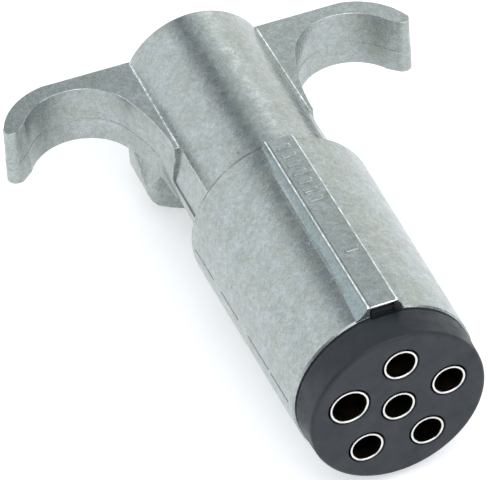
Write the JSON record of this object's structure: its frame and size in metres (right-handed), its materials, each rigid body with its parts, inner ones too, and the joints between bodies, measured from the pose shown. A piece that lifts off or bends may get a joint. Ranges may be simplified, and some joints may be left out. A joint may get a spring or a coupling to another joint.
{
  "type": "trailer wiring connector",
  "caption": "Round trailer wiring plug: keyed die-cast barrel with finger wings, moulded core with socket terminals, and a screw-down cable clamp under the neck.",
  "frame": {"origin": "centre of the bounding box on the surface that the plug lies on, key rib up", "axes": "-Y towards the plug face with the sockets, +Y towards the cable end, +Z towards the key rib, +X towards the right finger wing seen from the plug face; the plug axis runs along Y 16.84 mm above the origin"},
  "size_m": [0.0788, 0.094, 0.0346],
  "materials": {
    "cast_zinc": "bare die-cast zinc, light grey with a mottled skin and a soft sheen",
    "core_rubber": "moulded dark slate, fine matte grain",
    "plated_brass": "bright nickel-plated brass",
    "zinc_screw": "zinc-plated steel",
    "liner_fibre": "dark insulating fibre",
    "grommet_rubber": "soft black rubber, matte"
  },
  "bodies": {
    "plug_body": {"shell": "cast_zinc", "core": "core_rubber", "chamber_liner": "liner_fibre", "cable_grommet": "grommet_rubber", "terminal_centre": "plated_brass", "terminal_top": "plated_brass", "terminal_right_upper": "plated_brass", "terminal_right_lower": "plated_brass", "terminal_left_lower": "plated_brass", "terminal_ground": "plated_brass"},
    "clamp": {"clamp_cap": "cast_zinc"},
    "clamp_fastener_left": {"clamp_screw_left": "zinc_screw", "clamp_lock_washer_left": "zinc_screw"},
    "clamp_fastener_right": {"clamp_screw_right": "zinc_screw", "clamp_lock_washer_right": "zinc_screw"},
    "retainer": {"core_retaining_screw": "zinc_screw"},
    "binder_centre": {"binding_screw_centre": "zinc_screw"},
    "binder_top": {"binding_screw_top": "zinc_screw"},
    "binder_right_upper": {"binding_screw_right_upper": "zinc_screw"},
    "binder_right_lower": {"binding_screw_right_lower": "zinc_screw"},
    "binder_left_lower": {"binding_screw_left_lower": "zinc_screw"},
    "binder_ground": {"binding_screw_ground": "zinc_screw"}
  },
  "joints": [
    {"name": "clamp_travel", "type": "slide", "parent": "plug_body", "child": "clamp", "axis": [0, 0, -1], "range_m": [0, 0.004]},
    {"name": "clamp_screw_left_travel", "type": "slide", "parent": "plug_body", "child": "clamp_fastener_left", "axis": [0, 0, -1], "range_m": [0, 0.004]},
    {"name": "clamp_screw_right_travel", "type": "slide", "parent": "plug_body", "child": "clamp_fastener_right", "axis": [0, 0, -1], "range_m": [0, 0.004]},
    {"name": "retaining_screw_travel", "type": "slide", "parent": "plug_body", "child": "retainer", "axis": [0, 0, -1], "range_m": [0, 0.006]},
    {"name": "binding_travel_centre", "type": "slide", "parent": "plug_body", "child": "binder_centre", "axis": [0.0523, 0, 0.9986], "range_m": [0, 0.0015]},
    {"name": "binding_travel_top", "type": "slide", "parent": "plug_body", "child": "binder_top", "axis": [-0.0523, 0, -0.9986], "range_m": [0, 0.0015]},
    {"name": "binding_travel_right_upper", "type": "slide", "parent": "plug_body", "child": "binder_right_upper", "axis": [-0.9659, 0, -0.2588], "range_m": [0, 0.0015]},
    {"name": "binding_travel_right_lower", "type": "slide", "parent": "plug_body", "child": "binder_right_lower", "axis": [-0.5446, 0, 0.8387], "range_m": [0, 0.0015]},
    {"name": "binding_travel_left_lower", "type": "slide", "parent": "plug_body", "child": "binder_left_lower", "axis": [0.6293, 0, 0.7771], "range_m": [0, 0.0015]},
    {"name": "binding_travel_ground", "type": "slide", "parent": "plug_body", "child": "binder_ground", "axis": [0.9336, 0, -0.3584], "range_m": [0, 0.0015]}
  ],
  "couplings": [
    {"joint": "clamp_screw_left_travel", "follows": "clamp_travel", "ratio": 1},
    {"joint": "clamp_screw_right_travel", "follows": "clamp_travel", "ratio": 1}
  ]
}
